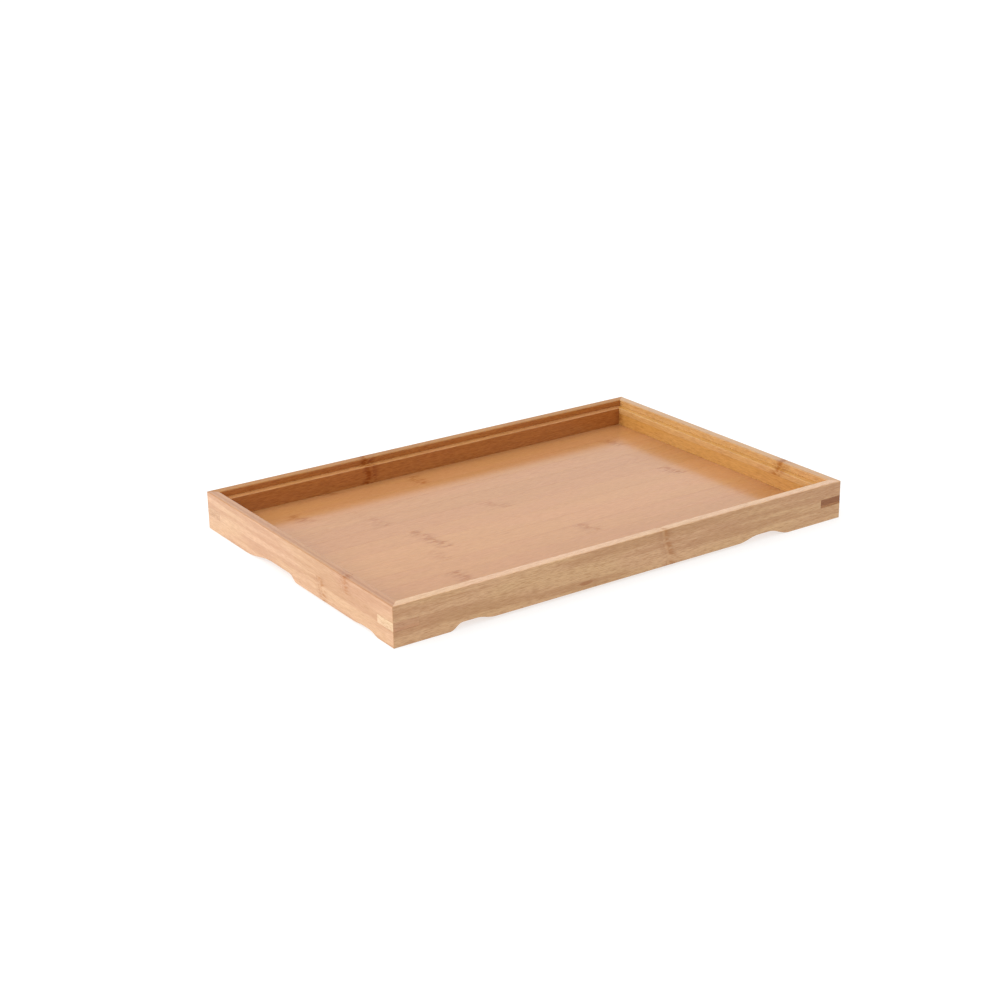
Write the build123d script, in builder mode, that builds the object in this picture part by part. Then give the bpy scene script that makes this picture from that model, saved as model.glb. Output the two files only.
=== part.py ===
"""Lacquered bamboo serving tray, in millimetres.

Four mitred rails stand on scalloped undersides and hold a flat base between them.
The base is a panel of edge-glued bamboo staves, rebated all round so that a thinner
tongue enters a groove inside the rails. One flat triangular key is glued across each
mitred corner.

The origin is the middle of the tray on the plane that it stands on: +X runs along
the long rails to the right, +Y to the back and +Z up.
"""

import os
from itertools import pairwise
from typing import NamedTuple

from build123d import *

# Overall size
tray_length = 400.0
tray_width = 270.0
tray_height = 30.0

# Rail section: a thin rim over a thicker band, with a narrow ledge between them
rim_thickness = 7.5
ledge_width = 5.5
ledge_depth = 5.0
rim_round = 0.9
ledge_round = 0.7
foot_round = 0.5

# Base panel
panel_thickness = 3.5
panel_lip = 1.4  # rail left between the tallest notch and the panel
tongue_thickness = 2.2
groove_depth = 4.5
tongue_end_gap = 0.5  # room for the panel to swell, at the bottom of the groove
shoulder_gap = 0.2  # between the panel's raised field and the rails
whole_staves = 11
front_edge_stave = 15.5  # the two edge staves are ripped narrower to fit
back_edge_stave = 10.0

# Corner keys
key_leg = 20.0  # along each outer face
key_thickness = 6.5
key_above_base = 1.25


class Notch(NamedTuple):
    """A scallop in a rail's underside, as distances from the nearer end of the rail."""

    foot_end: float
    crest_start: float
    crest_end: float
    apron_start: float
    height: float


# Undersides: a foot at each end, a notch inside each foot, a low apron between them
long_left_notch = Notch(43.5, 55.0, 64.0, 82.0, 4.7)
long_right_notch = Notch(50.0, 74.0, 81.0, 103.0, 5.2)
long_apron_height = 2.0
short_back_notch = Notch(58.0, 106.0, 128.0, 139.0, 5.6)
short_front_notch = Notch(18.0, 32.0, 37.0, 54.0, 2.4)
short_apron_height = 1.2

# Heights and widths that follow from the sizes above
rail_thickness = rim_thickness + ledge_width
ledge_height = tray_height - ledge_depth
tallest_notch = max(
    notch.height
    for notch in (long_left_notch, long_right_notch, short_back_notch, short_front_notch)
)
panel_bottom = tallest_notch + panel_lip
panel_top = panel_bottom + panel_thickness
groove_top = panel_bottom + tongue_thickness
groove_end = rail_thickness - groove_depth
panel_inset = groove_end + tongue_end_gap
panel_length = tray_length - 2 * panel_inset
panel_width = tray_width - 2 * panel_inset
field_inset = rail_thickness + shoulder_gap
field_length = tray_length - 2 * field_inset
field_width = tray_width - 2 * field_inset
whole_stave_width = (panel_width - front_edge_stave - back_edge_stave) / whole_staves
key_bottom = panel_top + key_above_base


def underside(length, start_notch, end_notch, apron_height):
    """Points along a rail's underside, from its start at -length/2 to its end."""
    start, end = -length / 2, length / 2
    return [
        (start + start_notch.foot_end, 0),
        (start + start_notch.crest_start, start_notch.height),
        (start + start_notch.crest_end, start_notch.height),
        (start + start_notch.apron_start, apron_height),
        (end - end_notch.apron_start, apron_height),
        (end - end_notch.crest_end, end_notch.height),
        (end - end_notch.crest_start, end_notch.height),
        (end - end_notch.foot_end, 0),
    ]


def build_rail(plan, length, underside_points):
    """One rail. Its plan plane has x along the rail's outer face, and y inwards."""
    section_plane = Plane(plan.origin, x_dir=plan.y_dir, z_dir=plan.x_dir)
    face_plane = Plane(plan.origin, x_dir=plan.x_dir, z_dir=-plan.y_dir)

    with BuildPart() as rail:
        # The moulded section, run the whole length of the rail
        with BuildSketch(section_plane) as section:
            with BuildLine():
                Polyline(
                    (0, 0),
                    (rail_thickness, 0),
                    (rail_thickness, panel_bottom),
                    (groove_end, panel_bottom),
                    (groove_end, groove_top),
                    (rail_thickness, groove_top),
                    (rail_thickness, ledge_height),
                    (rim_thickness, ledge_height),
                    (rim_thickness, tray_height),
                    (0, tray_height),
                    close=True,
                )
            make_face()
            rim_top = section.vertices().group_by(Axis.Y)[-1]
            ledge_nose = section.vertices().group_by(Axis.Y)[-2].sort_by(Axis.X)[-1]
            foot_edges = section.vertices().group_by(Axis.Y)[0]
            fillet(rim_top, rim_round)
            fillet(ledge_nose, ledge_round)
            fillet(foot_edges, foot_round)
        extrude(amount=length / 2, both=True)

        # Both ends mitred at 45 degrees
        with BuildSketch(plan):
            with BuildLine():
                Polyline(
                    (-length / 2, 0),
                    (length / 2, 0),
                    (length / 2 - rail_thickness, rail_thickness),
                    (-length / 2 + rail_thickness, rail_thickness),
                    close=True,
                )
            make_face()
        extrude(amount=tray_height, mode=Mode.INTERSECT)

        # The scalloped underside, its level runs joined by S-curves
        with BuildSketch(face_plane):
            with BuildLine():
                for (x0, z0), (x1, z1) in pairwise(underside_points):
                    if z0 == z1:
                        Line((x0, z0), (x1, z1))
                    else:
                        middle = (x0 + x1) / 2
                        Bezier((x0, z0), (middle, z0), (middle, z1), (x1, z1))
                Line(underside_points[-1], underside_points[0])
            make_face()
        extrude(amount=-rail_thickness, mode=Mode.SUBTRACT)

        # The half of each corner key's slot that lies in this rail
        with BuildSketch(plan.offset(key_bottom)):
            for side in (-1, 1):
                with BuildLine():
                    Polyline(
                        (side * length / 2, 0),
                        (side * (length / 2 - key_leg), 0),
                        (side * length / 2, key_leg),
                        close=True,
                    )
                make_face()
        extrude(amount=key_thickness, mode=Mode.SUBTRACT)
    return rail.part


def build_key(corner, along_x, along_y):
    """A corner key: a flat right-angled triangle that fills its slot."""
    with BuildPart() as key:
        with BuildSketch(Plane.XY.offset(key_bottom)):
            with BuildLine():
                Polyline(
                    corner,
                    (corner[0] + along_x * key_leg, corner[1]),
                    (corner[0], corner[1] + along_y * key_leg),
                    close=True,
                )
            make_face()
        extrude(amount=key_thickness)
    return key.part


def build_stave(front, back):
    """One stave of the base, between two places on Y: its tongue and its raised field."""
    field_front = max(front, -field_width / 2)
    field_back = min(back, field_width / 2)
    layers = [
        (panel_length, front, back, tongue_thickness),
        (field_length, field_front, field_back, panel_thickness),
    ]
    with BuildPart() as stave:
        for length, layer_front, layer_back, thickness in layers:
            with BuildSketch(Plane.XY.offset(panel_bottom)):
                with Locations((0, (layer_front + layer_back) / 2)):
                    Rectangle(length, layer_back - layer_front)
            extrude(amount=thickness)
    return stave.part


def save(part, name):
    part.label = name
    export_step(part, f"parts/{name}.step")


os.makedirs("parts", exist_ok=True)

# Opposite rails are cut alike, so their notches face each other across the tray
up = (0, 0, 1)
front_plan = Plane((0, -tray_width / 2, 0), x_dir=(1, 0, 0), z_dir=up)
back_plan = Plane((0, tray_width / 2, 0), x_dir=(-1, 0, 0), z_dir=up)
left_plan = Plane((-tray_length / 2, 0, 0), x_dir=(0, -1, 0), z_dir=up)
right_plan = Plane((tray_length / 2, 0, 0), x_dir=(0, 1, 0), z_dir=up)
rails = {
    "front_rail": (front_plan, tray_length, long_left_notch, long_right_notch, long_apron_height),
    "back_rail": (back_plan, tray_length, long_right_notch, long_left_notch, long_apron_height),
    "left_rail": (left_plan, tray_width, short_back_notch, short_front_notch, short_apron_height),
    "right_rail": (right_plan, tray_width, short_front_notch, short_back_notch, short_apron_height),
}
for rail_name, (plan, length, start_notch, end_notch, apron_height) in rails.items():
    points = underside(length, start_notch, end_notch, apron_height)
    save(build_rail(plan, length, points), rail_name)

for y_name, y_side in (("front", -1), ("back", 1)):
    for x_name, x_side in (("left", -1), ("right", 1)):
        corner = (x_side * tray_length / 2, y_side * tray_width / 2)
        save(build_key(corner, -x_side, -y_side), f"{y_name}_{x_name}_key")

# Staves are counted from the front
stave_widths = [front_edge_stave] + whole_staves * [whole_stave_width] + [back_edge_stave]
stave_front = -panel_width / 2
for number, stave_width in enumerate(stave_widths, start=1):
    stave_back = stave_front + stave_width
    save(build_stave(stave_front, stave_back), f"base_stave_{number:02d}")
    stave_front = stave_back
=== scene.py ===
import math

import bmesh
import bpy
from mathutils import Matrix, Vector


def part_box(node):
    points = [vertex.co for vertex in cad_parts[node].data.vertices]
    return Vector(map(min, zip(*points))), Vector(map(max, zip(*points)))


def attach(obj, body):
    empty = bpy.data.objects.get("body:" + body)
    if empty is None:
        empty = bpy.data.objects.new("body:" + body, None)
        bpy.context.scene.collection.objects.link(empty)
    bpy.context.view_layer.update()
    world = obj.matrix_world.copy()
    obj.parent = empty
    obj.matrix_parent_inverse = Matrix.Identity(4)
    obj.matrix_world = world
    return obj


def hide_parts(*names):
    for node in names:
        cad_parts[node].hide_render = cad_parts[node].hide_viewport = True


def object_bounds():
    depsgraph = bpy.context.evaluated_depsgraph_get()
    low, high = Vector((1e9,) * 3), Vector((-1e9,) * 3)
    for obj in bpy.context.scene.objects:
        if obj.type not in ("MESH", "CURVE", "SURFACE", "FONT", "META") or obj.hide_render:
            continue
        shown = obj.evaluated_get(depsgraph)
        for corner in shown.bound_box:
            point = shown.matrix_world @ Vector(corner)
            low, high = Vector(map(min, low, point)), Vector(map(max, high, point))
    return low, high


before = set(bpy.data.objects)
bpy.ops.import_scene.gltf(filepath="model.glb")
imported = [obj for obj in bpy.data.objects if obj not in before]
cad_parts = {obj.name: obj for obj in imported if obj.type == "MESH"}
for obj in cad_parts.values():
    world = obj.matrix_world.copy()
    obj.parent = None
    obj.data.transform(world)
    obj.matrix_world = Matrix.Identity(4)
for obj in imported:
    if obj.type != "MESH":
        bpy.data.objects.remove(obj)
cad_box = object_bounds()
MM = 0.001

# ---------------------------------------------------------------------------
# Sizes, in metres. Overall sizes come from the frame, and the rest are the maker's.
# ---------------------------------------------------------------------------

front_low, front_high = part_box("front_rail")
left_low, left_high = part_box("left_rail")
stave_low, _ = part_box("base_stave_07")
key_low, key_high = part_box("front_left_key")

TRAY_LENGTH = front_high.x - front_low.x
TRAY_WIDTH = left_high.y - left_low.y
TRAY_HEIGHT = front_high.z
RAIL_THICKNESS = front_high.y - front_low.y
PANEL_BOTTOM = stave_low.z
KEY_LEG = key_high.x - key_low.x

RIM_THICKNESS = 7.5 * MM
LEDGE_HEIGHT = TRAY_HEIGHT - 5.0 * MM
RIM_ROUND = 0.9 * MM
LEDGE_ROUND = 0.7 * MM
FOOT_ROUND = 0.5 * MM
CORNER_ROUND = 0.6 * MM
TONGUE_THICKNESS = 2.2 * MM
GROOVE_DEPTH = 4.5 * MM
SHOULDER_GAP = 0.2 * MM
STAVE_ARRIS = 0.05 * MM
KEY_ARRIS = 0.12 * MM

# Scallops under the rails, in millimetres. A notch has its foot end, crest start, crest
# end and apron start, all from the rail's end, and its height. An apron is the underside
# between two notches, and has its height.
LONG_LEFT_NOTCH = (43.5, 55.0, 64.0, 82.0, 4.7)
LONG_RIGHT_NOTCH = (50.0, 74.0, 81.0, 103.0, 5.2)
LONG_APRON = 2.0
SHORT_BACK_NOTCH = (58.0, 106.0, 128.0, 139.0, 5.6)
SHORT_FRONT_NOTCH = (18.0, 32.0, 37.0, 54.0, 2.4)
SHORT_APRON = 1.2
NOTCH_PARTS = ("Foot End", "Crest Start", "Crest End", "Apron Start", "Height")

# How finely the pieces are run, how far cutters stand out past what they cut, and the
# turn from which an edge stays sharp
RAIL_STATIONS = 241
RAIL_CROWDING = 1.6
STAVE_STATIONS = 25
CUTTER_MARGIN = 1 * MM
SHARP_ANGLE = math.radians(32.0)

# Bamboo: from one knuckle to the next along a rail, the size of a knot, and how much a
# piece's own tone shifts the places of its fibres
RAIL_INTERNODE = 420 * MM
KNOT_LENGTH = 7 * MM
KNOT_HEIGHT = 1.6 * MM
TONE_SHIFT = 37.0

# The floor, just clear of the feet
FLOOR_GAP = 0.1 * MM
FLOOR_REACH = 15.0


# ---------------------------------------------------------------------------
# Node graphs, written as expressions
# ---------------------------------------------------------------------------


class Value:
    """A node's output socket. Arithmetic on it adds Math nodes to its graph."""

    def __init__(self, graph, socket):
        self.graph = graph
        self.socket = socket

    def __add__(self, other):
        return self.graph.math("ADD", self, other)

    def __radd__(self, other):
        return self.graph.math("ADD", other, self)

    def __sub__(self, other):
        return self.graph.math("SUBTRACT", self, other)

    def __rsub__(self, other):
        return self.graph.math("SUBTRACT", other, self)

    def __mul__(self, other):
        return self.graph.math("MULTIPLY", self, other)

    def __rmul__(self, other):
        return self.graph.math("MULTIPLY", other, self)

    def __truediv__(self, other):
        return self.graph.math("DIVIDE", self, other)

    def __pow__(self, other):
        return self.graph.math("POWER", self, other)

    def __neg__(self):
        return self.graph.math("MULTIPLY", self, -1.0)

    def __abs__(self):
        return self.graph.math("ABSOLUTE", self)

    def least(self, other):
        return self.graph.math("MINIMUM", self, other)

    def most(self, other):
        return self.graph.math("MAXIMUM", self, other)

    def wrap(self, low, high):
        return self.graph.math("WRAP", self, high, low)

    def step(self, start, end, low=0.0, high=1.0):
        """Goes smoothly from low to high while this value goes from start to end."""
        settings = {"interpolation_type": "SMOOTHERSTEP"}
        inputs = {"Value": self, 1: start, 2: end, 3: low, 4: high}
        return self.graph.node("ShaderNodeMapRange", settings, inputs)


class Graph:
    """A shader or geometry node tree that is being written."""

    def __init__(self, tree):
        self.tree = tree

    def node(self, kind, settings=None, inputs=None, output=0):
        """Adds a node. Its settings are made first, then its sockets are fed."""
        made = self.tree.nodes.new(kind)
        for name, setting in (settings or {}).items():
            setattr(made, name, setting)
        for name, value in (inputs or {}).items():
            self.feed(made.inputs[name], value)
        return Value(self, made.outputs[output]) if len(made.outputs) else made

    def feed(self, socket, value):
        if isinstance(value, Value):
            self.tree.links.new(value.socket, socket)
        else:
            socket.default_value = value

    def math(self, operation, *values):
        return self.node("ShaderNodeMath", {"operation": operation}, dict(enumerate(values)))

    def vector(self, x, y, z):
        return self.node("ShaderNodeCombineXYZ", {}, {"X": x, "Y": y, "Z": z})

    def split(self, vector):
        first = self.node("ShaderNodeSeparateXYZ", {}, {"Vector": vector})
        outputs = first.socket.node.outputs
        return [Value(self, outputs[axis]) for axis in "XYZ"]

    def attribute(self, name, output="Fac"):
        return self.node("ShaderNodeAttribute", {"attribute_name": name}, {}, output)

    def noise(self, vector, seed, scale, detail=1.0, roughness=0.5):
        """Noise with its own scale on each axis, per metre, moved along by a seed."""
        inputs = {0: vector, 1: scale, 2: self.vector(seed, seed * 1.7, seed * 2.3)}
        place = self.node("ShaderNodeVectorMath", {"operation": "MULTIPLY_ADD"}, inputs)
        inputs = {"Vector": place, "Scale": 1.0, "Detail": detail, "Roughness": roughness}
        return self.node("ShaderNodeTexNoise", {}, inputs)

    def mix(self, factor, first, second, blend="MIX"):
        """A mix of two colours. The Mix node has its colour sockets at 6 and 7."""
        settings = {"data_type": "RGBA", "blend_type": blend}
        return self.node("ShaderNodeMix", settings, {0: factor, 6: first, 7: second}, 2)


# ---------------------------------------------------------------------------
# Shapes
# ---------------------------------------------------------------------------


def rounded_outline(corners, steps=4):
    """Points round a closed outline of (x, y, radius) corners, each turned as an arc."""
    points = []
    for index, (x, y, radius) in enumerate(corners):
        corner = Vector((x, y))
        if radius == 0:
            points.append(corner)
            continue
        before = (Vector(corners[index - 1][:2]) - corner).normalized()
        after = (Vector(corners[(index + 1) % len(corners)][:2]) - corner).normalized()
        half_angle = before.angle(after) / 2
        centre = corner + (before + after).normalized() * radius / math.sin(half_angle)
        start = corner + before * radius / math.tan(half_angle) - centre
        end = corner + after * radius / math.tan(half_angle) - centre
        for step in range(steps + 1):
            points.append(centre + start.slerp(end, step / steps) * radius)
    return points


def rectangle(x_from, x_to, y_from, y_to):
    """Its corners, counter-clockwise if it goes from low to high both ways."""
    return [(x_from, y_from), (x_to, y_from), (x_to, y_to), (x_from, y_to)]


def moulding_tree():
    """Geometry nodes that run a section along X as one length of bamboo.

    The section's x is inwards from the outer face and its y is up. Stations crowd
    towards the ends, which are mitred and rounded at the tray's corner if asked, and
    the underside is lifted into a foot, a notch and an apron at each end.
    """
    tree = bpy.data.node_groups.new("Moulded bamboo", "GeometryNodeTree")
    interface = tree.interface
    interface.new_socket("Geometry", in_out="INPUT", socket_type="NodeSocketGeometry")
    floats = ["Length", "Crowding", "Mitre", "Corner Round", "Lift Below", "Apron Height"]
    floats += [f"{end} {part}" for end in ("Near", "Far") for part in NOTCH_PARTS]
    for name in floats:
        interface.new_socket(name, in_out="INPUT", socket_type="NodeSocketFloat")
    interface.new_socket("Stations", in_out="INPUT", socket_type="NodeSocketInt")
    interface.new_socket("Material", in_out="INPUT", socket_type="NodeSocketMaterial")
    interface.new_socket("Geometry", in_out="OUTPUT", socket_type="NodeSocketGeometry")

    g = Graph(tree)
    source = tree.nodes.new("NodeGroupInput")
    given = {socket.name: Value(g, socket) for socket in source.outputs if socket.name}
    half = given["Length"] / 2

    profile = g.node("GeometryNodeMeshToCurve", {}, {"Mesh": given["Geometry"]})
    line = g.node(
        "GeometryNodeCurvePrimitiveLine",
        {},
        {"Start": g.vector(0.0, 0.0, -half), "End": g.vector(0.0, 0.0, half)},
    )
    path = g.node("GeometryNodeResampleCurve", {}, {"Curve": line, "Count": given["Stations"]})
    swept = g.node(
        "GeometryNodeCurveToMesh",
        {},
        {"Curve": path, "Profile Curve": profile, "Fill Caps": True},
    )

    # Crowd the stations towards the ends, then shorten each by the mitre
    inward, up, along = g.split(g.node("GeometryNodeInputPosition"))
    side = g.math("SIGN", along)
    from_end = half * (1 - abs(along) / half).most(0.0) ** given["Crowding"]
    reach = (half - from_end) * (1 - given["Mitre"] * inward / half)

    # Round the tray's corner, half of the arc on each rail
    radius = given["Corner Round"]
    clear = (half - reach).most(radius * (1 - math.sqrt(0.5)))
    into_round = (radius - clear).most(0.0)
    depth = radius - g.math("SQRT", (radius * radius - into_round * into_round).most(0.0))
    inward = inward.most(depth)
    x = side * (half - clear)

    # Lift the underside
    lift = -given["Apron Height"]
    for end, distance in (("Near", half + x), ("Far", half - x)):
        foot, crest_start, crest_end, apron, height = (
            given[f"{end} {part}"] for part in NOTCH_PARTS
        )
        rise = distance.step(foot, crest_start, 0.0, height)
        fall = distance.step(crest_end, apron, 0.0, height - given["Apron Height"])
        lift = lift + rise - fall
    under = g.math("LESS_THAN", up, given["Lift Below"])
    place = g.vector(x, inward, up + lift * under)

    shaped = g.node("GeometryNodeSetPosition", {}, {"Geometry": swept, "Position": place})
    real = g.node("GeometryNodeRealizeInstances", {}, {"Geometry": shaped})
    finished = g.node(
        "GeometryNodeSetMaterial", {}, {"Geometry": real, "Material": given["Material"]}
    )
    sink = tree.nodes.new("NodeGroupOutput")
    tree.links.new(finished.socket, sink.inputs["Geometry"])
    return tree


def baked(piece):
    """Applies what a piece's modifiers make to its mesh, and removes them."""
    depsgraph = bpy.context.evaluated_depsgraph_get()
    mesh = bpy.data.meshes.new_from_object(
        piece.evaluated_get(depsgraph), preserve_all_data_layers=True, depsgraph=depsgraph
    )
    piece.modifiers.clear()
    piece.data = mesh
    return piece


def new_piece(name, mesh):
    piece = bpy.data.objects.new(name, mesh)
    bpy.context.scene.collection.objects.link(piece)
    return piece


def run_moulding(tree, name, section, sizes):
    """A piece that a tree makes of a closed section, with its inputs set by name."""
    count = len(section)
    outline = bpy.data.meshes.new(name)
    edges = [(index, (index + 1) % count) for index in range(count)]
    outline.from_pydata([(x, y, 0.0) for x, y in section], edges, [])
    piece = new_piece(name, outline)
    modifier = piece.modifiers.new(tree.name, "NODES")
    modifier.node_group = tree
    for socket in tree.interface.items_tree:
        if socket.in_out == "INPUT" and socket.name in sizes:
            modifier[socket.identifier] = sizes[socket.name]
    return baked(piece)


def prism(name, points, low, high):
    """A closed prism on a flat outline that runs counter-clockwise."""
    shape = bmesh.new()
    bottom = [shape.verts.new((x, y, low)) for x, y in points]
    face = shape.faces.new(bottom)
    lifted = bmesh.ops.extrude_face_region(shape, geom=[face])["geom"]
    top = [part for part in lifted if isinstance(part, bmesh.types.BMVert)]
    bmesh.ops.translate(shape, verts=top, vec=(0, 0, high - low))
    bmesh.ops.recalc_face_normals(shape, faces=shape.faces)
    mesh = bpy.data.meshes.new(name)
    shape.to_mesh(mesh)
    shape.free()
    return new_piece(name, mesh)


def cut(piece, cutters):
    """Cuts other pieces out of this one, and removes them."""
    for cutter in cutters:
        modifier = piece.modifiers.new("Cut", "BOOLEAN")
        modifier.object = cutter
        modifier.operation = "DIFFERENCE"
        modifier.solver = "EXACT"
    baked(piece)
    for cutter in cutters:
        bpy.data.objects.remove(cutter)


def mark_grain(piece, width=1.0, tone=0.0, knuckle=0.0, internode=1.0, scarring=0.0):
    """Stores where each point is in its bamboo, and what is this piece's own.

    The grain runs along x, y is inwards and z is up. The width is a stave's, from one
    glue line to the next. The tone is darker above 0 and paler below it. The knuckle is
    where one crosses the fibres, the internode is how far it is to the next one, and the
    scarring is how plainly they show.
    """
    attributes = piece.data.attributes
    grain = attributes.new("grain", "FLOAT_VECTOR", "POINT")
    grain.data.foreach_set("vector", [part for vertex in piece.data.vertices for part in vertex.co])
    own = {
        "width": width,
        "tone": tone,
        "knuckle": knuckle,
        "internode": internode,
        "scarring": scarring,
    }
    for name, value in own.items():
        layer = attributes.new(name, "FLOAT", "POINT")
        layer.data.foreach_set("value", [value] * len(piece.data.vertices))


def finish_piece(piece, nodes):
    """Smooths a piece's rounds but not its flats, and stands it for its CAD nodes."""
    piece.data.shade_smooth()
    piece.data.set_sharp_from_angle(angle=SHARP_ANGLE)
    flats = piece.modifiers.new("Flats", "WEIGHTED_NORMAL")
    flats.keep_sharp = True
    baked(piece)
    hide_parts(*nodes)
    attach(piece, "root")


# ---------------------------------------------------------------------------
# Bamboo
# ---------------------------------------------------------------------------


def new_material(name):
    material = bpy.data.materials.new(name)
    material.use_nodes = True
    material.node_tree.nodes.clear()
    return material, Graph(material.node_tree)


def bamboo(
    name,
    seed,
    face,
    inner=None,
    ledge=None,
    top=None,
    top_line=-1.0,
    lower_tint=(1.0, 1.0, 1.0),
    lower_shift=0.0,
    strip_height=-1.0,
    half_length=10.0,
    contrast=1.0,
    ridge=0.0,
    knot=None,
    lacquer=1.0,
):
    """Lacquered bamboo with its fibres along the piece, knuckle marks and glue lines.

    The face colour is the outer side's. A rail can be another colour inside its rim, on
    its ledge and on its top, with a dark line along its top; these colours carry painted
    light and shade as well as the wood's own tones. It can be glued up from two strips,
    the lower one tinted and with its knuckles shifted. A knuckle cut along its side has a
    pale ridge. A knot is a short brown mark on the outer face, given by where it is along
    and up the piece. The contrast is how strongly the fibres show. The lacquer is thinner
    in the scars and the pores. Where a piece has no top line, strips or mitres, their
    places are set outside it.
    """
    material, g = new_material(name)
    grain = g.attribute("grain", "Vector")
    along, inward, up = g.split(grain)
    width, tone, knuckle, internode, scarring = (
        g.attribute(part) for part in ("width", "tone", "knuckle", "internode", "scarring")
    )
    seed = tone * TONE_SHIFT + seed

    # The colours of a rail's parts: its inner side, ledge, lower strip and top. The inner
    # side's, ledge's and top's carry painted light and shade as well as the wood's tones
    inside = inward.step(RIM_THICKNESS - 0.5 * MM, RIM_THICKNESS)
    on_ledge = inside * up.step(LEDGE_HEIGHT - 0.6 * MM, LEDGE_HEIGHT - 0.2 * MM)
    on_ledge = on_ledge * (1.0 - up.step(LEDGE_HEIGHT, LEDGE_HEIGHT + 0.3 * MM))
    on_top = up.step(TRAY_HEIGHT - 0.7 * MM, TRAY_HEIGHT - 0.2 * MM)
    below = 1.0 - up.step(strip_height - 0.1 * MM, strip_height + 0.1 * MM)
    colour = g.mix(inside, (*face, 1.0), (*(inner or face), 1.0))
    colour = g.mix(on_ledge, colour, (*(ledge or inner or face), 1.0))
    colour = g.mix(below, colour, g.mix(1.0, colour, (*lower_tint, 1.0), "MULTIPLY"))
    colour = g.mix(on_top, colour, (*(top or face), 1.0))

    # Fibres: slow changes of tone and hue, streaks, and the short dark dashes of vessels
    slow = g.noise(grain, seed, (7.0, 120.0, 120.0), detail=3.0)
    hue = g.noise(grain, seed + 3.0, (14.0, 55.0, 55.0), detail=2.0)
    streaks = g.noise(grain, seed + 5.0, (32.0, 620.0, 620.0), detail=3.0, roughness=0.65)
    dashes = g.noise(grain, seed + 9.0, (190.0, 1500.0, 1500.0), detail=2.0)
    vessels = g.noise(grain, seed + 11.0, (150.0, 4200.0, 4200.0))
    shade = (slow - 0.5) * 0.6 + (streaks - 0.5) * 0.9
    shade = shade + (dashes - 0.5) * 2.2 + (vessels - 0.5) * 1.4
    shade = 0.42 + shade * contrast + tone * 0.14
    yellow = g.mix(1.0, colour, (0.97, 1.03, 0.86, 1.0), "MULTIPLY")
    colour = g.mix(hue.step(0.38, 0.62) * 0.4, colour, yellow)
    pale = g.mix(1.0, colour, (1.11, 1.14, 1.18, 1.0), "MULTIPLY")
    dark = g.mix(1.0, colour, (0.8, 0.72, 0.62, 1.0), "MULTIPLY")
    brown = g.mix(1.0, colour, (0.62, 0.4, 0.19, 1.0), "MULTIPLY")
    colour = g.mix(shade, pale, dark)
    pores = vessels.step(0.58, 0.7)
    colour = g.mix(pores * 0.4 * contrast, colour, brown)

    # Knuckles: a brownish haze across the fibres, a pale ridge, and scarred fibre ends.
    # They slant a little, and one with a ridge strays less and is scarred more widely
    slant = 0.2
    stray = (16 - 13 * ridge) * MM
    haze_reach = 11 * MM
    ridge_reach = 1.8 * MM
    scar_reach = (2.4 + 3 * ridge) * MM
    coarse = g.noise(grain, seed + 13.0, (15.0, 130.0, 130.0))
    ragged = g.noise(grain, seed + 15.0, (0.0, 1300.0, 1300.0))
    flecks = g.noise(grain, seed + 17.0, (150.0, 600.0, 600.0), detail=2.0)
    offset = along - knuckle - lower_shift * below + (inward + up) * slant
    offset = (offset + (coarse - 0.5) * stray).wrap(internode * -0.5, internode * 0.5)
    torn = offset + (ragged - 0.5) * stray
    haze = 1.0 - abs(offset).step(1 * MM, haze_reach)
    haze = haze * flecks.step(0.35, 0.62)
    crest = 1.0 - abs(offset + 1 * MM).step(0.4 * MM, ridge_reach)
    crest = crest * flecks.step(0.4, 0.6)
    scars = 1.0 - abs(torn - 1.5 * MM).step(0.4 * MM, scar_reach)
    scars = scars * flecks.step(0.36, 0.56) * scarring
    colour = g.mix(haze * 0.5 * scarring, colour, brown)
    colour = g.mix(crest * ridge, colour, pale)
    colour = g.mix(scars * (0.52 - ridge * 0.44), colour, brown)

    if knot:
        knot_along, knot_up = knot
        sideways = abs(along - knot_along + (dashes - 0.5) * 6 * MM) / KNOT_LENGTH
        upwards = abs(up - knot_up + (dashes - 0.5) * 2 * MM) / KNOT_HEIGHT
        in_knot = 1.0 - (sideways**2.0 + upwards**2.0).step(0.3, 1.2)
        in_knot = in_knot * (1.0 - inward.step(2 * MM, 3 * MM))
        colour = g.mix(in_knot * 0.9, colour, brown)

    # Dark lines: glue along a stave's edges, between a rail's strips and at the mitres,
    # and the line along a rail's top
    from_edge = inward.least(width - inward)
    from_mitre = half_length - abs(along) - inward
    edge_line = 1.0 - from_edge.step(0.05 * MM, 0.45 * MM)
    strip_line = 1.0 - abs(up - strip_height).step(0.1 * MM, 0.6 * MM)
    rim_line = 1.0 - abs(inward - top_line).step(0.2 * MM, 1.6 * MM)
    mitre_line = 1.0 - from_mitre.step(0.03 * MM, 0.22 * MM)
    edge_line = edge_line * slow.step(0.42, 0.6) * 0.4
    strip_line = strip_line * slow.step(0.4, 0.6) * 0.35
    rim_line = rim_line * on_top * 0.35
    lines = edge_line.most(strip_line).most(rim_line).most(mitre_line * 0.5)
    colour = g.mix(lines, colour, brown)

    height = streaks * 0.4 + dashes * 0.2 + vessels * 0.4 - scars * 0.2
    bump = g.node(
        "ShaderNodeBump", {}, {"Strength": 0.35, "Distance": 0.05 * MM, "Height": height}
    )
    surface = g.node(
        "ShaderNodeBsdfPrincipled",
        {},
        {
            "Base Color": colour,
            "Roughness": 0.5,
            "Specular IOR Level": 0.0,
            "Coat Weight": (1.0 - scars * 0.3 - pores * 0.15) * lacquer,
            "Coat Roughness": 0.17,
            "Coat IOR": 1.65,
            "Normal": bump,
        },
    )
    g.node("ShaderNodeOutputMaterial", {}, {"Surface": surface})
    return material


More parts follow.
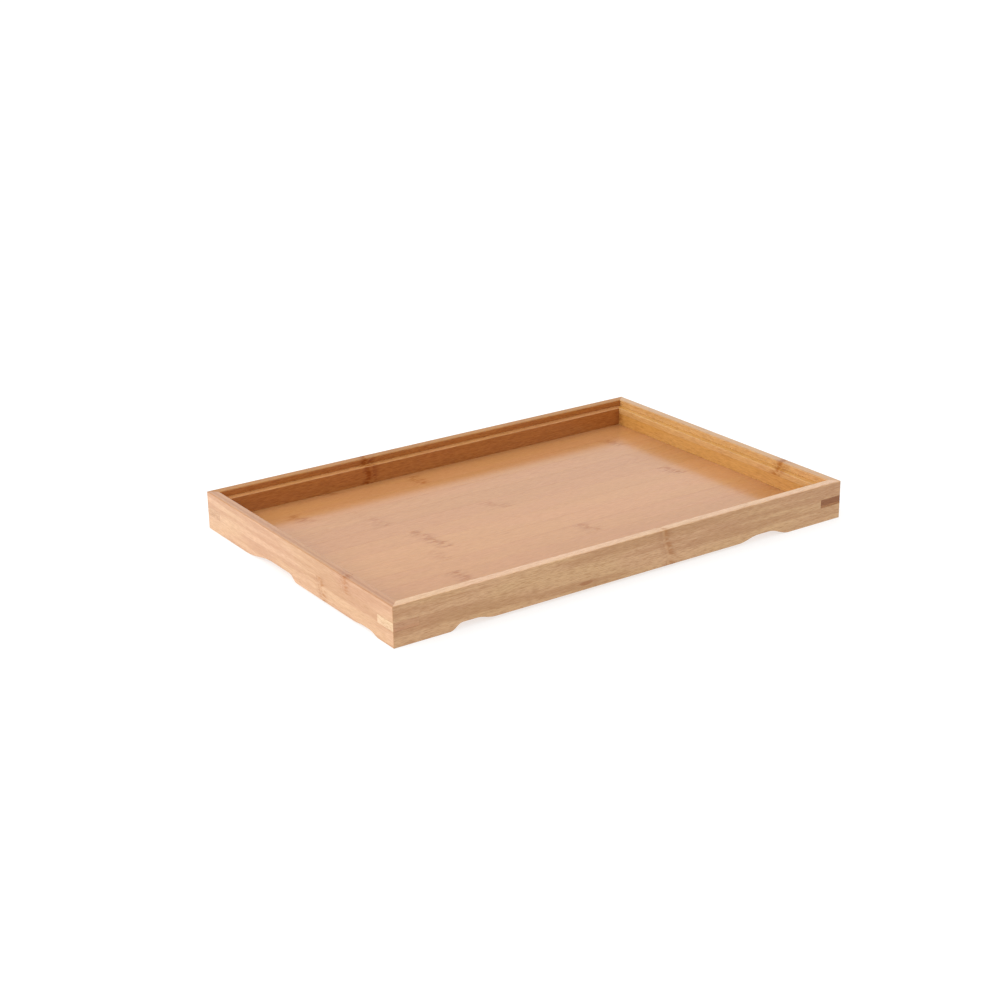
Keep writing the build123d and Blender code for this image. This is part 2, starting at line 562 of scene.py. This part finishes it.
def rail_bamboos():
    """The rails' bamboo. Each rail's outer side, inner side, ledge and top have colours of
    their own, partly the wood's tones and partly painted light and shade. The inner sides
    are yellower and deeper, with painted shade; the back rail's inner side and top are the
    darkest, painted shade; the front rail's outer side is darker than the others, painted
    shade, and its top the palest, a painted highlight; the back rail's ledge is paler than
    its inner side, a painted highlight; and the right rail's ledge and top are darker than
    its inner side, painted shade that dims their sheen.
    """
    return {
        # front rail: its outer side darkened, painted shade, and its top paled, a painted highlight
        "front_rail": bamboo(
            "Front rail bamboo",
            seed=11.0,
            face=(0.497, 0.281, 0.132),
            inner=(0.6, 0.28, 0.1),
            top=(0.62, 0.37, 0.21),
            half_length=TRAY_LENGTH / 2,
            contrast=1.15,
            ridge=0.7,
            knot=(-43 * MM, 7 * MM),
        ),
        # back rail: its inner side and top darkened, painted shade, and its ledge paler, a painted
        # highlight
        "back_rail": bamboo(
            "Back rail bamboo",
            seed=2.0,
            face=(0.6, 0.33, 0.17),
            inner=(0.39, 0.135, 0.03),
            ledge=(0.49, 0.225, 0.082),
            top=(0.39, 0.165, 0.035),
            half_length=TRAY_LENGTH / 2,
            ridge=0.7,
            lacquer=0.5,
        ),
        # left rail: its inner side and top deeper than its outer side, partly painted shade
        "left_rail": bamboo(
            "Left rail bamboo",
            seed=33.0,
            face=(0.63, 0.36, 0.198),
            inner=(0.6, 0.28, 0.1),
            top=(0.45, 0.21, 0.083),
            top_line=3.4 * MM,
            lower_shift=-37 * MM,
            strip_height=18 * MM,
            half_length=TRAY_WIDTH / 2,
            contrast=0.55,
            ridge=0.5,
        ),
        # right rail: its ledge and top darker than its inner side, painted shade over their sheen
        "right_rail": bamboo(
            "Right rail bamboo",
            seed=44.0,
            face=(0.62, 0.35, 0.18),
            inner=(0.65, 0.36, 0.14),
            ledge=(0.56, 0.28, 0.078),
            top=(0.49, 0.25, 0.085),
            lower_tint=(0.94, 0.84, 0.58),
            lower_shift=200 * MM,
            strip_height=20.3 * MM,
            half_length=TRAY_WIDTH / 2,
            contrast=0.85,
            ridge=0.5,
        ),
    }


def key_bamboos():
    """The bamboo of the keys' ends, pale or dark against the rails. A key's end on the
    short rail is paler than its end on the long rail, partly its own tone and partly
    painted light and shade of the sides they face.
    """
    return {
        "pale": bamboo("Pale key bamboo", seed=5.0, face=(0.66, 0.43, 0.245)),
        "tan": bamboo("Tan key bamboo", seed=5.0, face=(0.54, 0.29, 0.15)),
        "brown": bamboo(
            "Brown key bamboo",
            seed=6.0,
            face=(0.41, 0.2, 0.092),
            lower_tint=(1.0, 0.95, 0.9),
            strip_height=14 * MM,
        ),
        "dark": bamboo(
            "Dark key bamboo",
            seed=6.0,
            face=(0.255, 0.105, 0.045),
            lower_tint=(1.3, 1.42, 1.4),
            strip_height=13.6 * MM,
            lacquer=0.35,
        ),
    }


# ---------------------------------------------------------------------------
# The tray
# ---------------------------------------------------------------------------


def rail_section():
    """The rails' moulded section, from the outer face inwards and upwards."""
    groove_end = RAIL_THICKNESS - GROOVE_DEPTH
    groove_top = PANEL_BOTTOM + TONGUE_THICKNESS
    return rounded_outline(
        [
            (0, 0, FOOT_ROUND),
            (RAIL_THICKNESS, 0, FOOT_ROUND),
            (RAIL_THICKNESS, PANEL_BOTTOM, 0),
            (groove_end, PANEL_BOTTOM, 0),
            (groove_end, groove_top, 0),
            (RAIL_THICKNESS, groove_top, 0),
            (RAIL_THICKNESS, LEDGE_HEIGHT, LEDGE_ROUND),
            (RIM_THICKNESS, LEDGE_HEIGHT, 0),
            (RIM_THICKNESS, TRAY_HEIGHT, RIM_ROUND),
            (0, TRAY_HEIGHT, RIM_ROUND),
        ]
    )


def rail_sizes(length, notches, apron, material):
    """What the moulding tree needs for a rail, with its notches from near end to far."""
    sizes = {
        "Length": length,
        "Stations": RAIL_STATIONS,
        "Crowding": RAIL_CROWDING,
        "Mitre": 1.0,
        "Corner Round": CORNER_ROUND,
        "Lift Below": FOOT_ROUND * 1.01,  # the underside with its rounded edges
        "Apron Height": apron * MM,
        "Material": material,
    }
    for end, notch in zip(("Near", "Far"), notches):
        for part, size in zip(NOTCH_PARTS, notch):
            sizes[f"{end} {part}"] = size * MM
    return sizes


def key_slots(length):
    """Cutters for the slots at both ends of a rail, which let its two keys in."""
    cutters = []
    for side in (-1, 1):
        corner = side * length / 2
        points = [
            (corner - side * (KEY_LEG + CUTTER_MARGIN), -CUTTER_MARGIN),
            (corner + side * CUTTER_MARGIN, -CUTTER_MARGIN),
            (corner + side * CUTTER_MARGIN, KEY_LEG + CUTTER_MARGIN),
        ]
        cutters.append(prism(f"slot_cutter_{side}", points[::side], key_low.z, key_high.z))
    return cutters


def build_rails(tree, materials):
    """The rails: moulded, mitred, scalloped and slotted, then turned into their places."""
    long_notches = (LONG_LEFT_NOTCH, LONG_RIGHT_NOTCH)
    short_notches = (SHORT_BACK_NOTCH, SHORT_FRONT_NOTCH)
    # Each rail's length, its turn, the side it stands on, its notches from its near end to
    # its far end, its apron, and its knuckle from its middle and how plainly it shows
    rails = [
        ("front_rail", TRAY_LENGTH, 0, (0, -1), long_notches, LONG_APRON, 33 * MM, 1.0),
        ("back_rail", TRAY_LENGTH, 180, (0, 1), long_notches[::-1], LONG_APRON, 70 * MM, 2.0),
        ("left_rail", TRAY_WIDTH, -90, (-1, 0), short_notches, SHORT_APRON, 78 * MM, 1.2),
        ("right_rail", TRAY_WIDTH, 90, (1, 0), short_notches[::-1], SHORT_APRON, -70 * MM, 1.6),
    ]
    for name, length, turn, (x_side, y_side), notches, apron, knuckle, scarring in rails:
        sizes = rail_sizes(length, notches, apron, materials[name])
        rail = run_moulding(tree, name, rail_section(), sizes)
        cut(rail, key_slots(length))
        mark_grain(rail, knuckle=knuckle, internode=RAIL_INTERNODE, scarring=scarring)
        place = Matrix.Translation((x_side * TRAY_LENGTH / 2, y_side * TRAY_WIDTH / 2, 0))
        rail.data.transform(place @ Matrix.Rotation(math.radians(turn), 4, "Z"))
        finish_piece(rail, [name])


def build_keys(ends):
    """The flat triangular keys glued across the mitres, flush with both outer faces."""
    # Each key's corner, and its ends as seen on the long rail and on the short one
    keys = [
        ("front_left_key", -1, -1, "brown", "pale"),
        ("front_right_key", 1, -1, "dark", "tan"),
        ("back_left_key", -1, 1, "dark", "tan"),
        ("back_right_key", 1, 1, "brown", "pale"),
    ]
    outline = rounded_outline([(0, 0, CORNER_ROUND), (KEY_LEG, 0, 0), (0, KEY_LEG, 0)])
    end_on = 0.72  # how far along x a face points, at least, to be the short rail's
    for name, x_side, y_side, long_end, short_end in keys:
        corner = Vector((x_side * TRAY_LENGTH / 2, y_side * TRAY_WIDTH / 2))
        points = [(corner.x - x_side * x, corner.y - y_side * y) for x, y in outline]
        key = prism(name, points[:: x_side * y_side], key_low.z, key_high.z)
        bevel = key.modifiers.new("Arris", "BEVEL")
        bevel.width = KEY_ARRIS
        bevel.segments = 1
        baked(key)
        # the end on the short rail gets the paler colour, partly painted light on that side
        key.data.materials.append(ends[long_end])
        key.data.materials.append(ends[short_end])
        for face in key.data.polygons:
            face.material_index = 1 if face.normal.x * x_side > end_on else 0
        # Marked while its long edge lies along x, so that its fibres cross the corner, and
        # flattened, so that they are streaks where they are cut at the outer faces. It is
        # moved far inwards for that, clear of the glue line at an edge
        turn = Matrix.Rotation(math.radians(45 * x_side * y_side), 4, "Z")
        flatten = Matrix.Diagonal((1.0, 0.08, 1.0, 1.0))
        into_grain = Matrix.Translation((0, 0.3, 0)) @ flatten @ turn
        key.data.transform(into_grain)
        mark_grain(key, tone=x_side + y_side * 0.3)  # another tone at each corner
        key.data.transform(into_grain.inverted())
        finish_piece(key, [name])


def build_base(tree, material):
    """The base's staves, side by side, with their ends and outer edges rebated."""
    staves = sorted(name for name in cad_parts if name.startswith("base_stave"))
    # Each stave's knuckle from the middle of the tray, the gap to the next one, both in
    # metres, and how plainly they show, from the front stave to the back one
    knuckles = [
        (0.12, 0.3, 0.7),
        (0.06, 0.3, 0.6),
        (-0.107, 0.3, 1.0),
        (0.021, 0.3, 0.8),
        (-0.1, 0.3, 0.4),
        (-0.084, 0.3, 1.0),
        (-0.088, 0.239, 1.0),
        (-0.009, 0.3, 0.6),
        (-0.099, 0.3, 0.7),
        (-0.104, 0.3, 0.3),
        (0.156, 0.3, 0.8),
        (-0.025, 0.3, 0.9),
        (-0.1, 0.3, 0.7),
    ]
    border = RAIL_THICKNESS + SHOULDER_GAP
    field = Vector((TRAY_LENGTH / 2 - border, TRAY_WIDTH / 2 - border))
    groove_top = PANEL_BOTTOM + TONGUE_THICKNESS
    over = CUTTER_MARGIN
    for number, (name, (knuckle, internode, scarring)) in enumerate(zip(staves, knuckles)):
        low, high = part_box(name)
        width = high.y - low.y
        corners = rectangle(0, width, low.z, high.z)
        section = rounded_outline([(x, y, STAVE_ARRIS) for x, y in corners], steps=1)
        sizes = {
            "Length": high.x - low.x,
            "Stations": STAVE_STATIONS,
            "Crowding": 1.0,
            "Material": material,
        }
        stave = run_moulding(tree, name, section, sizes)
        stave.data.transform(Matrix.Translation((0, low.y, 0)))

        # The rebate all round the panel, wherever it crosses this stave
        cutters = []
        for side in (-1, 1):
            inner, outer = side * field.x, side * (high.x + over)
            corners = rectangle(inner, outer, low.y - over, high.y + over)[::side]
            cutters.append(prism(f"end_cutter_{side}", corners, groove_top, high.z + over))
            if side * (high.y if side > 0 else low.y) > field.y:
                inner, outer = side * field.y, side * (abs(low.y) + abs(high.y))
                corners = rectangle(low.x - over, high.x + over, inner, outer)[::side]
                cutters.append(prism(f"edge_cutter_{side}", corners, groove_top, high.z + over))
        cut(stave, cutters)
        to_edge = Matrix.Translation((0, -low.y, 0))
        tone = math.sin(number * 7.3)  # neighbours differ, with no order to be seen
        stave.data.transform(to_edge)
        mark_grain(stave, width, tone, knuckle, internode, scarring)
        stave.data.transform(to_edge.inverted())
        finish_piece(stave, [name])


# ---------------------------------------------------------------------------
# Studio
# ---------------------------------------------------------------------------


def build_camera():
    azimuth, elevation, roll = (math.radians(angle) for angle in (-34.29, 20.52, -0.87))
    distance = 1.4596
    target = Vector((0.01305, 0.05191, 0.0))
    back = Vector(
        (
            math.sin(azimuth) * math.cos(elevation),
            -math.cos(azimuth) * math.cos(elevation),
            math.sin(elevation),
        )
    )
    level = Vector((math.cos(azimuth), math.sin(azimuth), 0.0))
    upright = back.cross(level)
    right = level * math.cos(roll) + upright * math.sin(roll)
    up = upright * math.cos(roll) - level * math.sin(roll)
    camera = bpy.data.objects.new("Camera", bpy.data.cameras.new("Camera"))
    camera.data.sensor_width = 36.0
    camera.data.lens = 66.36
    turned = Matrix((right, up, back)).transposed().to_4x4()
    camera.matrix_world = Matrix.Translation(target + back * distance) @ turned
    bpy.context.scene.collection.objects.link(camera)
    bpy.context.scene.camera = camera


def build_studio():
    scene = bpy.context.scene
    scene.view_settings.view_transform = "Standard"
    world = bpy.data.worlds.new("Studio")
    world.use_nodes = True
    background = world.node_tree.nodes["Background"]
    background.inputs["Color"].default_value = (1.0, 1.0, 1.0, 1.0)
    background.inputs["Strength"].default_value = 1.08
    scene.world = world

    material, g = new_material("Pale floor")
    surface = g.node(
        "ShaderNodeBsdfPrincipled",
        {},
        {
            "Base Color": (0.4, 0.4, 0.4, 1.0),
            "Roughness": 0.9,
            "Specular IOR Level": 0.0,
            "Emission Color": (1.0, 1.0, 1.0, 1.0),
            "Emission Strength": 0.65,
        },
    )
    g.node("ShaderNodeOutputMaterial", {}, {"Surface": surface})
    mesh = bpy.data.meshes.new("floor")
    corners = rectangle(-FLOOR_REACH, FLOOR_REACH, -FLOOR_REACH, FLOOR_REACH)
    height = cad_box[0][2] - FLOOR_GAP
    mesh.from_pydata([(x, y, height) for x, y in corners], [], [(0, 1, 2, 3)])
    mesh.materials.append(material)
    new_piece("floor", mesh)

    lamp = bpy.data.lights.new("Key", "AREA")
    lamp.shape = "RECTANGLE"
    lamp.size = 1.6
    lamp.size_y = 1.2
    lamp.energy = 16.0
    light = bpy.data.objects.new("Key", lamp)
    place = Vector((-1.5, 0.5, 1.2))
    aim = place.to_track_quat("Z", "Y").to_matrix().to_4x4()  # at the tray's middle
    light.matrix_world = Matrix.Translation(place) @ aim
    scene.collection.objects.link(light)


tree = moulding_tree()
build_rails(tree, rail_bamboos())
build_keys(key_bamboos())
build_base(tree, bamboo("Base bamboo", seed=7.0, face=(0.495, 0.228, 0.086), contrast=0.45))
build_studio()
build_camera()
